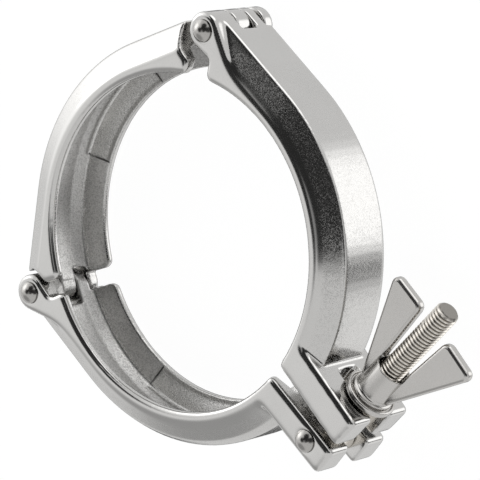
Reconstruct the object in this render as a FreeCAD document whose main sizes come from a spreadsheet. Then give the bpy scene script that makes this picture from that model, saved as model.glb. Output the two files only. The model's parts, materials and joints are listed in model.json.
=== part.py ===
import FreeCAD, Part
import math
import os
import re
import Sketcher

# Vacuum flange clamp in three hinged segments, closed by a swing bolt and a wing nut.
# Millimetres. The origin is the centre of the ring, half way through its width.
# Z is the axis of the ring, with the rivet heads on the +Z side, and +X points to the closure.

doc = FreeCAD.newDocument("flange_clamp")
sheet = doc.addObject("Spreadsheet::Sheet", "Sizes")

# Driving dimensions: name, value, meaning
SIZES = [
    ("ring_width", 21.6, "width of the ring and of its lugs"),
    ("lip_radius", 42.0, "inner radius of both lips"),
    ("lip_land", 2.1, "width of the inner land of each lip"),
    ("wall_angle", 21.0, "angle of a groove wall from the plane of the ring"),
    ("ridge_depth", 6.0, "depth at which a groove wall ends"),
    ("floor_depth", 6.8, "depth of the groove floor"),
    ("floor_width", 6.0, "width of the flat groove floor"),
    ("side_face", 2.6, "radial width of the flat side face"),
    ("band_wall", 2.3, "thickness of the band behind the groove floor"),
    ("band_width", 14.8, "width of the outer band, between its two bevels"),
    ("blank_depth", 10.0, "how far the blank reaches inside the lips before they are turned"),
    ("hinge_depth", 11.6, "distance of a hinge beyond the lips"),
    ("hinge_angle", 120.0, "angle of a hinge from the closure"),
    ("barrel_radius", 4.6, "radius of a hinge barrel"),
    ("end_angle", 3.5, "angle from a hinge to the end of the right or lower segment"),
    ("top_end_angle", 4.5, "angle from the top hinge to the end of the left segment"),
    ("left_end_angle", 1.4, "angle from the left hinge to the end of the left segment"),
    ("top_rear_angle", 4.5, "angle from the top hinge to the rear end of the left segment"),
    ("left_rear_angle", 2.2, "angle from the left hinge to the rear end of the left segment"),
    ("top_ear_space", 4.2, "radial space of the left segment round the ear of the top hinge"),
    ("left_ear_space", 1.2, "radial space of the left segment round the ear of the left hinge"),
    ("ear_length", 7.6, "length of the front ear of a hinge"),
    ("knuckle_length", 5.0, "length of the front knuckle of the left segment"),
    ("knuckle_gap", 0.3, "gap beside the front knuckle"),
    ("strap_length", 3.4, "length of the middle knuckle"),
    ("strap_gap", 1.2, "gap behind the middle knuckle"),
    ("strap_space", 1.6, "radial space round a middle knuckle and round a rear knuckle"),
    ("slot_inset", 2.7, "distance from the end of a segment to the end of its hinge slots"),
    ("pin_radius", 1.9, "radius of the hinge and bolt pins"),
    ("pin_clearance", 0.06, "radial running clearance on a pin"),
    ("head_radius", 2.6, "radius of a domed rivet head"),
    ("head_height", 1.2, "height of a domed rivet head"),
    ("lug_reach", 25.0, "distance from the lips to the end of both lugs"),
    ("lug_sink", 1.0, "how far both lugs start inside the lips, before the groove is turned"),
    ("lug_tilt", 5.0, "tilt of the bolt and of the slotted lug"),
    ("fork_top", 2.4, "depth of the top of the forked lug below the centre line"),
    ("fork_thickness", 7.8, "thickness of the forked lug"),
    ("slot_width", 7.0, "width of the slots in both lugs"),
    ("fork_depth", 14.0, "depth of the slot in the forked lug"),
    ("slot_depth", 15.0, "depth of the slot in the slotted lug"),
    ("bolt_pin_inset", 7.4, "distance from the lug ends to the bolt pin"),
    ("bolt_pin_rise", 3.9, "height of the bolt pin above the bottom of the forked lug"),
    ("slotted_bottom", 6.2, "distance along the bolt from its pin to the slotted lug"),
    ("slotted_thickness", 8.7, "thickness of the slotted lug along the bolt"),
    ("slotted_reach", 6.3, "distance from the bolt axis to the end of the slotted lug"),
    ("nut_lift", 0.5, "gap under the nut, which is run back half a turn"),
    ("bolt_radius", 3.0, "radius of the bolt over its thread"),
    ("bolt_length", 48.5, "length of the bolt from its pin to its tip"),
    ("bolt_chamfer", 0.6, "chamfer of the bolt tip"),
    ("eye_radius", 4.5, "radius of the eye of the bolt"),
    ("eye_width", 6.4, "width of the eye of the bolt"),
    ("thread_clearance", 0.05, "radial clearance of the nut on the bolt"),
    ("flange_radius", 6.75, "radius of the flange of the nut"),
    ("flange_height", 1.7, "height of the flange of the nut at its rim"),
    ("flange_step_radius", 5.7, "radius at which the flange of the nut slopes to its boss"),
    ("flange_step", 0.5, "rise of that slope"),
    ("boss_radius", 4.25, "radius of the boss of the nut"),
    ("nut_height", 10.6, "height of the nut without its wings"),
    ("wing_start", 2.4, "height at which a wing leaves the boss"),
    ("wing_height", 27.6, "height of the wing tips above the face of the nut"),
    ("wing_tip_inner", 5.4, "distance from the bolt axis to the inner corner of a wing tip"),
    ("wing_tip_outer", 15.6, "distance from the bolt axis to the outer corner of a wing tip"),
    ("wing_thickness", 2.8, "thickness of a wing"),
    ("wing_corner", 2.2, "corner radius of a wing tip"),
    ("lip_corner", 2.0, "corner radius of the lips at the end of a segment"),
    ("lug_corner", 1.2, "corner radius of the lug ends, of the lug roots and of the ear notches"),
    ("lip_edge", 0.4, "chamfer of the inner edge of a side face"),
    ("soft_edge", 1.6, "edge chamfer of the band of the lower segment, along the band and the bevel"),
    ("plain_edge", 0.6, "edge chamfer of the band of the left segment, along the band and the bevel"),
    ("neck_slope", 0.5, "slope of the ear neck against the straight run"),
    ("neck_blend", 5.5, "length of the blend between the ear neck and the side face"),
    ("neck_root", 5.3, "depth below the lips at which the ear leaves the end of a segment"),
    ("rim_edge", 0.4, "chamfer of the nut flange"),
    ("relief_angle", 20.0, "half angle of the relief in the middle of a groove wall"),
    ("relief_depth", 0.25, "depth of the relief"),
    ("relief_start", 0.8, "depth below the lips at which the relief starts"),
]

for row, (name, value, meaning) in enumerate(SIZES, start=1):
    sheet.set(f"A{row}", str(value))
    sheet.setAlias(f"A{row}", name)
    sheet.set(f"B{row}", meaning)
doc.recompute()

NAMES = {name for name, _, _ in SIZES}

# Places that several pieces share, as expressions of the sizes
BAND_RADIUS = "(lip_radius + floor_depth + band_wall)"
HINGE_RADIUS = "(lip_radius + hinge_depth)"
LUG_END = "(lip_radius + lug_reach)"
LUG_ROOT = "(lip_radius - lug_sink)"
TANGENT = f"acos(({BAND_RADIUS} - barrel_radius) / {HINGE_RADIUS})"
HINGE_X = f"{HINGE_RADIUS} * cos(hinge_angle)"
HINGE_Y = f"{HINGE_RADIUS} * sin(hinge_angle)"
RUN_LENGTH = f"{HINGE_RADIUS} * sin({TANGENT})"
PIN_X = f"({LUG_END} - bolt_pin_inset)"
PIN_Y = "(bolt_pin_rise - fork_top - fork_thickness)"
SEAT = "(slotted_bottom + slotted_thickness + nut_lift)"
EAR_BOTTOM = "(ring_width / 2 - ear_length)"
KNUCKLE_BOTTOM = f"({EAR_BOTTOM} - knuckle_gap - knuckle_length)"
STRAP_TOP = f"({KNUCKLE_BOTTOM} - knuckle_gap)"
STRAP_BOTTOM = f"({STRAP_TOP} - strap_length)"
ABOVE = "(ring_width / 2 + 1)"
BELOW = "(0 - ring_width / 2 - 1)"


def with_sheet(text):
    return re.sub(r"[a-z_]+", lambda word: "Sizes." + word[0] if word[0] in NAMES else word[0], text)


def bind(thing, prop, text):
    thing.setExpression(prop, with_sheet(text))


def new_body(name):
    body = doc.addObject("PartDesign::Body", name)
    body.Label = name
    return body


def new_sketch(body, name, role, turn=None, lift=None):
    """Sketch on an origin plane, turned about the vertical axis or lifted off the plane."""
    sketch = body.newObject("Sketcher::SketchObject", name)
    plane = next(item for item in body.Origin.OriginFeatures if item.Role == role)
    sketch.AttachmentSupport = [(plane, "")]
    sketch.MapMode = "FlatFace"
    if turn:
        sketch.AttachmentOffset = FreeCAD.Placement(
            FreeCAD.Vector(0, 0, 0), FreeCAD.Rotation(FreeCAD.Vector(0, 1, 0), 1))
        bind(sketch, "AttachmentOffset.Rotation.Angle", turn)
    if lift:
        bind(sketch, "AttachmentOffset.Base.z", lift)
    return sketch


def place_point(sketch, item, vertex, place):
    """Tie one vertex of a sketch to its two coordinates."""
    for kind, axis, text in zip(("DistanceX", "DistanceY"), (-2, -1), place):
        if text == "0":
            sketch.addConstraint(Sketcher.Constraint("PointOnObject", item, vertex, axis))
        else:
            length = value(sketch, text)
            index = sketch.addConstraint(Sketcher.Constraint(kind, -1, 1, item, vertex, length))
            bind(sketch, f"Constraints[{index}]", text)


def add_polygon(sketch, places):
    """Closed outline through the places, each a pair of expressions."""
    first = sketch.GeometryCount
    count = len(places)
    corners = [FreeCAD.Vector(value(sketch, x), value(sketch, y), 0) for x, y in places]
    for step in range(count):
        line = Part.LineSegment(corners[step], corners[(step + 1) % count])
        sketch.addGeometry(line, False)
    for step in range(count):
        following = first + (step + 1) % count
        sketch.addConstraint(Sketcher.Constraint("Coincident", first + step, 2, following, 1))
    for step, place in enumerate(places):
        place_point(sketch, first + step, 1, place)


def add_circle(sketch, place, radius):
    circle = Part.Circle(FreeCAD.Vector(1, 1, 0), FreeCAD.Vector(0, 0, 1), 1)
    item = sketch.addGeometry(circle, False)
    place_point(sketch, item, 3, place)
    index = sketch.addConstraint(Sketcher.Constraint("Radius", item, 1.0))
    bind(sketch, f"Constraints[{index}]", radius)


def value(item, text):
    """Number that an expression of the sizes has now."""
    result = item.evalExpression(with_sheet(text))
    return getattr(result, "Value", result)


def round_uprights(body, name, radius, places):
    """Round the edges parallel to Z that pass through the places."""
    doc.recompute()
    targets = [(value(body, x), value(body, y)) for x, y in places]
    found = []
    for index, edge in enumerate(body.Tip.Shape.Edges, start=1):
        ends = [vertex.Point for vertex in edge.Vertexes]
        if len(ends) != 2 or math.hypot(ends[0].x - ends[1].x, ends[0].y - ends[1].y) > 0.001:
            continue
        if any(math.hypot(ends[0].x - x, ends[0].y - y) < 0.02 for x, y in targets):
            found.append(f"Edge{index}")
    return round_edges(body, name, radius, found)


def round_lug_root(body):
    """Round the edges parallel to Z where the lips end at the lug."""
    doc.recompute()
    reach = value(body, "lip_radius")
    found = []
    for index, edge in enumerate(body.Tip.Shape.Edges, start=1):
        ends = [vertex.Point for vertex in edge.Vertexes]
        if len(ends) != 2 or math.hypot(ends[0].x - ends[1].x, ends[0].y - ends[1].y) > 0.001:
            continue
        if ends[0].x > 0 and abs(math.hypot(ends[0].x, ends[0].y) - reach) < 0.02:
            found.append(f"Edge{index}")
    return round_edges(body, "lug_root", "lug_corner", found)


def round_edges(body, name, radius, found):
    if not found:
        raise RuntimeError(f"{body.Label} has no edge for {name}")
    base = body.Tip
    feature = body.newObject("PartDesign::Fillet", name)
    feature.Base = (base, found)
    bind(feature, "Radius", radius)
    return feature


def pad(body, name, sketch, length, symmetric=True, reverse=False):
    feature = body.newObject("PartDesign::Pad", name)
    feature.Profile = sketch
    feature.SideType = "Symmetric" if symmetric else "One side"
    feature.Reversed = reverse
    bind(feature, "Length", length)
    return feature


def pocket(body, name, sketch, length=None, reverse=False):
    """Cut through all both ways, or by a length to one side."""
    feature = body.newObject("PartDesign::Pocket", name)
    feature.Profile = sketch
    if length:
        feature.Reversed = reverse
        bind(feature, "Length", length)
    else:
        feature.Type = "ThroughAll"
        feature.SideType = "Symmetric"
    return feature


def revolve(body, name, sketch, angle, kind="PartDesign::Revolution", reverse=False):
    feature = body.newObject(kind, name)
    feature.Profile = sketch
    feature.ReferenceAxis = (sketch, ["V_Axis"])
    feature.Reversed = reverse
    bind(feature, "Angle", angle)
    return feature


def ring_section(body, name, turn, band_edge=None):
    """Half section of the ring blank: side faces, bevels and band, which may have chamfered edges."""
    sketch = new_sketch(body, name, "XZ_Plane", turn=turn)
    inner = "lip_radius - blank_depth"
    outer = "(lip_radius + side_face)"
    if band_edge:
        bend = f"atan(({BAND_RADIUS} - {outer}) / (ring_width / 2 - band_width / 2))"
        edge = [
            (BAND_RADIUS, f"band_width / 2 - {band_edge}"),
            (f"{BAND_RADIUS} - {band_edge} * sin({bend})", f"band_width / 2 + {band_edge} * cos({bend})"),
        ]
    else:
        edge = [(BAND_RADIUS, "band_width / 2")]
    upper = edge + [(outer, "ring_width / 2"), (inner, "ring_width / 2")]
    lower = [(radius, f"0 - ({height})") for radius, height in reversed(upper)]
    add_polygon(sketch, lower + upper)
    return sketch


def cut_groove(body):
    """Turn the two lips and the V groove between them."""
    sketch = new_sketch(body, "groove_section", "XZ_Plane")
    inner = "lip_radius - blank_depth - 2"
    land_z = "(ring_width / 2 - lip_land)"
    ridge_z = f"({land_z} - ridge_depth * tan(wall_angle))"
    upper = [
        (inner, "ring_width / 2 + 2"),
        ("lip_radius + lip_edge", "ring_width / 2 + 2"),
        ("lip_radius + lip_edge", "ring_width / 2"),
        ("lip_radius", "ring_width / 2 - lip_edge"),
        ("lip_radius", land_z),
        ("lip_radius + ridge_depth", ridge_z),
        ("lip_radius + floor_depth", "floor_width / 2"),
    ]
    lower = [(radius, f"0 - ({height})") for radius, height in reversed(upper)]
    add_polygon(sketch, upper + lower)
    return revolve(body, "groove", sketch, "360", kind="PartDesign::Groove")


def cut_relief(body, middle):
    """Sink the middle of both groove walls by a small depth."""
    for face in (1, -1):
        start = f"({middle} - relief_angle)"
        sketch = new_sketch(body, f"relief_section_{face + 1}", "XZ_Plane", turn=f"{start} * 1 deg")
        places = []
        for depth in ("relief_start", "(ridge_depth + 0.3)"):
            wall_z = f"(ring_width / 2 - lip_land - {depth} * tan(wall_angle))"
            places.append((f"lip_radius + {depth}", wall_z))
        (near, near_z), (far, far_z) = places
        outline = [
            (near, f"{face} * ({near_z} - 1)"),
            (far, f"{face} * ({far_z} - 1)"),
            (far, f"{face} * ({far_z} + relief_depth)"),
            (near, f"{face} * ({near_z} + relief_depth)"),
        ]
        add_polygon(sketch, outline)
        revolve(body, f"relief_{face + 1}", sketch, "2 * relief_angle", kind="PartDesign::Groove")


def end_cut(body, name, side, gap, beyond, top, bottom):
    """Cut the end of a segment along a radial plane, from top down to bottom.

    side is 1 at the top hinge and -1 at the left hinge. beyond is 1 where the segment lies on
    the closure side of the hinge and -1 where it lies on the far side.
    """
    sketch = new_sketch(body, f"{name}_outline_{side + 1}", "XY_Plane", lift=top)
    turn = f"(hinge_angle - {beyond} * ({gap}))"
    normal = f"(hinge_angle * 1 deg - {beyond} * {TANGENT})"
    far = f"(hinge_angle + {beyond} * 35)"
    inner = "(lip_radius - blank_depth - 2)"
    outer = f"(2 * {BAND_RADIUS})"
    foot = f"({HINGE_RADIUS} * cos({gap}))"
    places = [
        (HINGE_X, HINGE_Y),
        (f"{foot} * cos({turn})", f"{foot} * sin({turn})"),
        (f"{inner} * cos({turn})", f"{inner} * sin({turn})"),
        (f"{inner} * cos({far})", f"{inner} * sin({far})"),
        (f"{outer} * cos({far})", f"{outer} * sin({far})"),
        (f"{HINGE_X} + {BAND_RADIUS} * cos({normal})", f"{HINGE_Y} + {BAND_RADIUS} * sin({normal})"),
    ]
    add_polygon(sketch, [(x, f"{side} * ({y})") for x, y in places])
    return pocket(body, f"{name}_{side + 1}", sketch, length=f"{top} - ({bottom})")


def hinge_circle(body, name, side, radius, lift=None):
    sketch = new_sketch(body, name, "XY_Plane", lift=lift)
    add_circle(sketch, (HINGE_X, f"{side} * {HINGE_Y}"), radius)
    return sketch


def add_neck(body, side):
    """Neck between the ears and the side face of a right or lower segment."""
    sketch = new_sketch(body, f"neck_outline_{side + 1}", "XY_Plane")
    turn = "(hinge_angle - end_angle)"
    slant = "atan(neck_slope)"
    face_y = "(lip_radius + side_face)"
    touch_x = f"({HINGE_X} + barrel_radius * sin({slant}))"
    touch_y = f"({HINGE_Y} + barrel_radius * cos({slant}))"
    corner_x = f"({touch_x} + ({touch_y} - {face_y}) / neck_slope)"
    root = "(lip_radius + neck_root)"
    places = [(HINGE_X, HINGE_Y), (touch_x, touch_y)]
    for step in range(5):
        share = step / 4
        along = f"{share ** 2} - {(1 - share) ** 2} * cos({slant})"
        across = f"{(1 - share) ** 2} * sin({slant})"
        places.append((f"{corner_x} + neck_blend * ({along})", f"{face_y} + neck_blend * {across}"))
    places += [
        (f"{face_y} * cos({turn} - 12)", f"{face_y} * sin({turn} - 12)"),
        (f"{root} * cos({turn})", f"{root} * sin({turn})"),
        (HINGE_X, f"{HINGE_Y} - barrel_radius"),
    ]
    add_polygon(sketch, [(x, f"{side} * ({y})") for x, y in places])
    return pad(body, f"neck_{side + 1}", sketch, "ring_width")


def end_place(side, gap, beyond, reach="lip_radius"):
    """Place on the end of a segment, at its lips or at another distance from the axis."""
    turn = f"(hinge_angle - {beyond} * ({gap}))"
    return f"{reach} * cos({turn})", f"{side} * {reach} * sin({turn})"


def add_barrel(body, side):
    sketch = hinge_circle(body, f"barrel_circle_{side + 1}", side, "barrel_radius")
    return pad(body, f"barrel_{side + 1}", sketch, "ring_width")


def clear_circle(body, name, side, top, bottom, space):
    """Clear a round space about a hinge, from top down to bottom."""
    sketch = hinge_circle(body, f"{name}_circle_{side + 1}", side, f"barrel_radius + {space}", lift=top)
    return pocket(body, f"{name}_{side + 1}", sketch, length=f"{top} - ({bottom})")


def clear_knuckle(body, name, side, top, bottom):
    """Slot for a knuckle of the left segment, parallel to the end of this segment."""
    sketch = new_sketch(body, f"{name}_outline_{side + 1}", "XY_Plane", lift=top)
    turn = "(hinge_angle - end_angle)"
    places = []
    for radius, inset in (
        ("(lip_radius - blank_depth - 2)", "slot_inset"),
        (f"(2 * {BAND_RADIUS})", "slot_inset"),
        (f"(2 * {BAND_RADIUS})", "-4 * barrel_radius"),
        ("(lip_radius - blank_depth - 2)", "-4 * barrel_radius"),
    ):
        x = f"{radius} * cos({turn}) + ({inset}) * sin({turn})"
        y = f"{side} * ({radius} * sin({turn}) - ({inset}) * cos({turn}))"
        places.append((x, y))
    add_polygon(sketch, places)
    return pocket(body, f"{name}_{side + 1}", sketch, length=f"{top} - ({bottom})")


def drill_hinge(body, side, radius):
    sketch = hinge_circle(body, f"hinge_hole_circle_{side + 1}", side, radius)
    return pocket(body, f"hinge_hole_{side + 1}", sketch)


def make_end_segment(name, side, ring_end, lug_places, band_edge=None):
    """Right or lower segment: hinge at one end and a lug at the other."""
    body = new_body(name)
    tangent = f"{side} * (hinge_angle * 1 deg - {TANGENT})"
    arc = f"hinge_angle * 1 deg - {TANGENT} - ({ring_end}) * 1 deg"
    ring = ring_section(body, "ring_section", tangent, band_edge)
    revolve(body, "ring", ring, arc, reverse=side > 0)
    run = ring_section(body, "run_section", tangent, band_edge)
    pad(body, "run", run, RUN_LENGTH, False, reverse=side > 0)
    end_cut(body, "end", side, "end_angle", 1, ABOVE, BELOW)
    add_neck(body, side)
    lug = new_sketch(body, "lug_outline", "XY_Plane")
    add_polygon(lug, lug_places)
    pad(body, "lug", lug, "ring_width")
    add_barrel(body, side)
    clear_knuckle(body, "front_gap", side, EAR_BOTTOM, STRAP_TOP)
    clear_circle(body, "rear_gap", side, STRAP_BOTTOM, BELOW, "strap_space")
    cut_groove(body)
    cut_relief(body, f"{side} * hinge_angle / 2")
    drill_hinge(body, side, "pin_radius")
    round_uprights(body, "lip_corners", "lip_corner", [end_place(side, "end_angle", 1)])
    notch = end_place(side, "end_angle", 1, "(lip_radius + neck_root)")
    round_uprights(body, "notch_corner", "lug_corner", [notch])
    round_lug_root(body)
    return body


def along_bolt(distance, offset):
    """Place at a distance along the bolt from its pin, and an offset outwards from its axis."""
    x = f"{PIN_X} + ({distance}) * sin(lug_tilt) + ({offset}) * cos(lug_tilt)"
    y = f"{PIN_Y} + ({distance}) * cos(lug_tilt) - ({offset}) * sin(lug_tilt)"
    return x, y


def lug_slot(body, depth):
    """Slot for the bolt, open at the end of the lug."""
    sketch = new_sketch(body, "slot_outline", "XZ_Plane")
    outline = [
        (f"{LUG_END} - {depth}", "0 - slot_width / 2"),
        (f"{LUG_END} + 5", "0 - slot_width / 2"),
        (f"{LUG_END} + 5", "slot_width / 2"),
        (f"{LUG_END} - {depth}", "slot_width / 2"),
    ]
    add_polygon(sketch, outline)
    return pocket(body, "slot", sketch)


def make_right_segment():
    bottom = "slotted_bottom"
    top = "(slotted_bottom + slotted_thickness)"
    inner = f"({LUG_ROOT} - {PIN_X})"
    outer = "slotted_reach"
    places = [
        along_bolt(bottom, inner),
        along_bolt(bottom, outer),
        along_bolt(top, outer),
        along_bolt(top, inner),
    ]
    body = make_end_segment("right_segment", 1, "4", places)
    lug_slot(body, "slot_depth")
    round_uprights(body, "lug_corners", "lug_corner", places[1:3])
    return body


def make_lower_segment():
    places = [
        (LUG_ROOT, "0 - fork_top"),
        (LUG_ROOT, "0 - fork_top - fork_thickness"),
        (LUG_END, "0 - fork_top - fork_thickness"),
        (LUG_END, "0 - fork_top"),
    ]
    body = make_end_segment("lower_segment", -1, "8", places, band_edge="soft_edge")
    lug_slot(body, "fork_depth")
    round_uprights(body, "lug_corners", "lug_corner", places[2:])
    hole = new_sketch(body, "bolt_hole_circle", "XY_Plane")
    add_circle(hole, (PIN_X, PIN_Y), "pin_radius")
    pocket(body, "bolt_hole", hole)
    return body


def make_left_segment():
    """Segment between the two hinges."""
    body = new_body("left_segment")
    tangent = f"(hinge_angle * 1 deg + {TANGENT})"
    ring = ring_section(body, "ring_section", tangent, "plain_edge")
    revolve(body, "ring", ring, f"360 deg - 2 * {tangent}")
    top_run = ring_section(body, "top_section", tangent, "plain_edge")
    pad(body, "top_run", top_run, RUN_LENGTH, False)
    left_run = ring_section(body, "left_section", f"-1 * {tangent}", "plain_edge")
    pad(body, "left_run", left_run, RUN_LENGTH, False, reverse=True)
    for side, end in ((1, "top"), (-1, "left")):
        end_cut(body, "front_end", side, f"{end}_end_angle", -1, ABOVE, STRAP_BOTTOM)
        end_cut(body, "rear_end", side, f"{end}_rear_angle", -1, STRAP_BOTTOM, BELOW)
        add_barrel(body, side)
        clear_circle(body, "ear_gap", side, ABOVE, f"{EAR_BOTTOM} - knuckle_gap", f"{end}_ear_space")
        clear_circle(body, "strap_gap", side, KNUCKLE_BOTTOM, f"{STRAP_BOTTOM} - strap_gap", "strap_space")
    cut_groove(body)
    cut_relief(body, "180")
    for side in (1, -1):
        drill_hinge(body, side, "pin_radius + pin_clearance")
    ends = []
    for side, end in ((1, "top"), (-1, "left")):
        ends += [end_place(side, f"{end}_end_angle", -1), end_place(side, f"{end}_rear_angle", -1)]
    round_uprights(body, "lip_corners", "lip_corner", ends)
    return body


def set_on_bolt(body):
    """Place a body whose own Y axis is the bolt axis, with its origin on the bolt pin."""
    bind(body, "Placement.Base.x", PIN_X)
    bind(body, "Placement.Base.y", PIN_Y)
    body.Placement = FreeCAD.Placement(FreeCAD.Vector(), FreeCAD.Rotation(FreeCAD.Vector(0, 0, 1), -1))
    bind(body, "Placement.Rotation.Angle", "0 - lug_tilt")


def make_swing_bolt():
    body = new_body("swing_bolt")
    shank = new_sketch(body, "shank_section", "XY_Plane")
    outline = [
        ("0", "0"),
        ("bolt_radius", "0"),
        ("bolt_radius", "bolt_length - bolt_chamfer"),
        ("bolt_radius - bolt_chamfer", "bolt_length"),
        ("0", "bolt_length"),
    ]
    add_polygon(shank, outline)
    revolve(body, "shank", shank, "360")
    eye = new_sketch(body, "eye_circle", "XY_Plane")
    add_circle(eye, ("0", "0"), "eye_radius")
    pad(body, "eye", eye, "eye_width")
    hole = new_sketch(body, "eye_hole_circle", "XY_Plane")
    add_circle(hole, ("0", "0"), "pin_radius + pin_clearance")
    pocket(body, "eye_hole", hole)
    set_on_bolt(body)
    return body


def make_wing_nut():
    body = new_body("wing_nut")
    section = new_sketch(body, "nut_section", "XY_Plane")
    bore = "bolt_radius + thread_clearance"
    rim = f"{SEAT} + flange_height"
    step = f"{rim} + flange_step"
    top = f"{SEAT} + nut_height"
    outline = [
        (bore, SEAT),
        ("flange_radius - rim_edge", SEAT),
        ("flange_radius", f"{SEAT} + rim_edge"),
        ("flange_radius", f"{rim} - rim_edge"),
        ("flange_radius - rim_edge", rim),
        ("flange_step_radius", rim),
        ("boss_radius", step),
        ("boss_radius", top),
        (bore, top),
    ]
    add_polygon(section, outline)
    revolve(body, "turned_nut", section, "360")
    for hand in (1, -1):
        wing = new_sketch(body, f"wing_outline_{hand + 1}", "XY_Plane")
        places = [
            (f"{hand} * (bolt_radius + 0.6)", f"{SEAT} + wing_start"),
            (f"{hand} * (boss_radius + 0.9)", f"{SEAT} + wing_start"),
            (f"{hand} * wing_tip_outer", f"{SEAT} + wing_height"),
            (f"{hand} * wing_tip_inner", f"{SEAT} + wing_height"),
            (f"{hand} * (bolt_radius + 0.9)", f"{SEAT} + nut_height"),
        ]
        add_polygon(wing, places)
        pad(body, f"wing_{hand + 1}", wing, "wing_thickness")
        round_uprights(body, f"wing_corners_{hand + 1}", "wing_corner", places[2:4])
    set_on_bolt(body)
    return body


def make_rivet(name, place):
    """Rivet with a domed head on the front side and its rear end flush."""
    body = new_body(name)
    sketch = new_sketch(body, f"{name}_section", "XZ_Plane")
    dome_radius = "((head_radius ^ 2 + head_height ^ 2) / (2 * head_height))"
    half_angle = f"asin(head_radius / {dome_radius})"
    dome = []
    for share in ("1", "0.6"):
        turn = f"({share} * {half_angle})"
        level = f"ring_width / 2 + head_height - {dome_radius} * (1 - cos({turn}))"
        dome.append((f"{dome_radius} * sin({turn})", level))
    outline = [
        ("0", "0 - ring_width / 2"),
        ("pin_radius", "0 - ring_width / 2"),
        ("pin_radius", "ring_width / 2"),
        *dome,
        ("0", "ring_width / 2 + head_height"),
    ]
    add_polygon(sketch, outline)
    revolve(body, "rivet", sketch, "360")
    bind(body, "Placement.Base.x", place[0])
    bind(body, "Placement.Base.y", place[1])
    return body


pieces = [
    make_left_segment(),
    make_right_segment(),
    make_lower_segment(),
    make_rivet("top_hinge_pin", (HINGE_X, HINGE_Y)),
    make_rivet("left_hinge_pin", (HINGE_X, f"0 - {HINGE_Y}")),
    make_rivet("bolt_pin", (PIN_X, PIN_Y)),
    make_swing_bolt(),
    make_wing_nut(),
]
doc.recompute()

for item in doc.Objects:
    if "Invalid" in item.State or "Error" in item.State:
        raise RuntimeError(f"{item.Name} failed: {item.State}")

os.makedirs("parts", exist_ok=True)
for piece in pieces:
    shape = piece.Shape
    if shape.isNull() or not shape.isValid():
        raise RuntimeError(f"{piece.Label} has no valid shape")
    shape.exportStep(f"parts/{piece.Label}.step")
    box = shape.BoundBox
    print(f"{piece.Label}: {len(shape.Solids)} solid, {shape.Volume:.1f} mm3, "
          f"x {box.XMin:.2f} {box.XMax:.2f} y {box.YMin:.2f} {box.YMax:.2f} z {box.ZMin:.2f} {box.ZMax:.2f}")
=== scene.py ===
"""Looks of the vacuum flange clamp: cast segments, rivets, a swing bolt and a wing nut."""

import json
import math

import bmesh
import bpy
from bpy.props import FloatProperty, FloatVectorProperty, IntProperty, PointerProperty
from mathutils import Matrix, Vector

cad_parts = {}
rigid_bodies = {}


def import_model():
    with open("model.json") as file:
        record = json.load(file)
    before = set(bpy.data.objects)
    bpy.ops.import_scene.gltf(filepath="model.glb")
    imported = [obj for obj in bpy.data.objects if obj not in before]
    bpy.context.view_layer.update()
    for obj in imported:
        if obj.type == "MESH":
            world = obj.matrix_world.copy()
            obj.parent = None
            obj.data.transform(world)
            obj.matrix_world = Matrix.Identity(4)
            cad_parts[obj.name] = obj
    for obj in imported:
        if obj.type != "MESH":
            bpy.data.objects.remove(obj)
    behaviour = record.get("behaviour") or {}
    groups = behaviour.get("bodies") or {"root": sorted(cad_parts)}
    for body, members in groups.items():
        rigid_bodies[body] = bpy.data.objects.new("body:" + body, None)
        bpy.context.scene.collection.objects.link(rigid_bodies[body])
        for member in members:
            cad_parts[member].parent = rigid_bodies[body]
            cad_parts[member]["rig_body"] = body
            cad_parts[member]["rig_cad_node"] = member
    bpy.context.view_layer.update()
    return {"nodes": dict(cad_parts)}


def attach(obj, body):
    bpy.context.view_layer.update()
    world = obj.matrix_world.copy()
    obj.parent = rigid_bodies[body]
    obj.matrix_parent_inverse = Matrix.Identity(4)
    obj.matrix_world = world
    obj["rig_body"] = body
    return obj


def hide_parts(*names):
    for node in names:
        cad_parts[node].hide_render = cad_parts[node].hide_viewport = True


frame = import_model()

bl_info = {
    "name": "Vacuum flange clamp",
    "version": (1, 0, 0),
    "blender": (4, 5, 0),
    "location": "3D View > Sidebar > Flange clamp",
    "description": "Dresses the segments, rivets, swing bolt and wing nut of a vacuum flange clamp",
    "category": "Object",
}

MM = 0.001

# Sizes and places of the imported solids
LIP_RADIUS = 42.0 * MM
BAND_RADIUS = 51.1 * MM
HALF_WIDTH = 10.8 * MM
WALL_FOOT = 6.4 * MM
SEGMENT_ANGLE = math.radians(120)
RELIEF_HALF_ANGLE = math.radians(20)
HINGE_PLACE = Vector((-26.8, 46.419, 0.0)) * MM
PIN_PLACE = Vector((59.6, -6.3, 0.0)) * MM
PIN_RADIUS = 1.9 * MM
BOLT_TILT = math.radians(5.0)
ALONG_BOLT = Vector((math.sin(BOLT_TILT), math.cos(BOLT_TILT), 0.0))
EYE_RADIUS = 4.5 * MM
EYE_WIDTH = 6.4 * MM
EYE_HOLE_RADIUS = 1.96 * MM
SEAT = 15.4 * MM
SLOT_END = 52.0 * MM
SLOT_RADIUS = 3.5 * MM

# What is smoothed and finished as the groove lies under a line that starts at this height over
# the lips and falls by this slope, and ends at this depth
GROOVE_HEIGHT = 9.3 * MM
GROOVE_SLOPE = 0.45
GROOVE_DEPTH = 7.3 * MM

# Camera axes in the clamp's frame, from the photograph's viewing angle
CAMERA_PLACE = Vector((277.20, 381.57, 517.35)) * MM
CAMERA_RIGHT = Vector((0.58042, 0.48704, -0.65262))
CAMERA_UP = Vector((-0.71594, 0.68706, -0.12401))
CAMERA_BACK = Vector((0.38799, 0.53922, 0.74747))
CAMERA_LENS = 211.74

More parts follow.
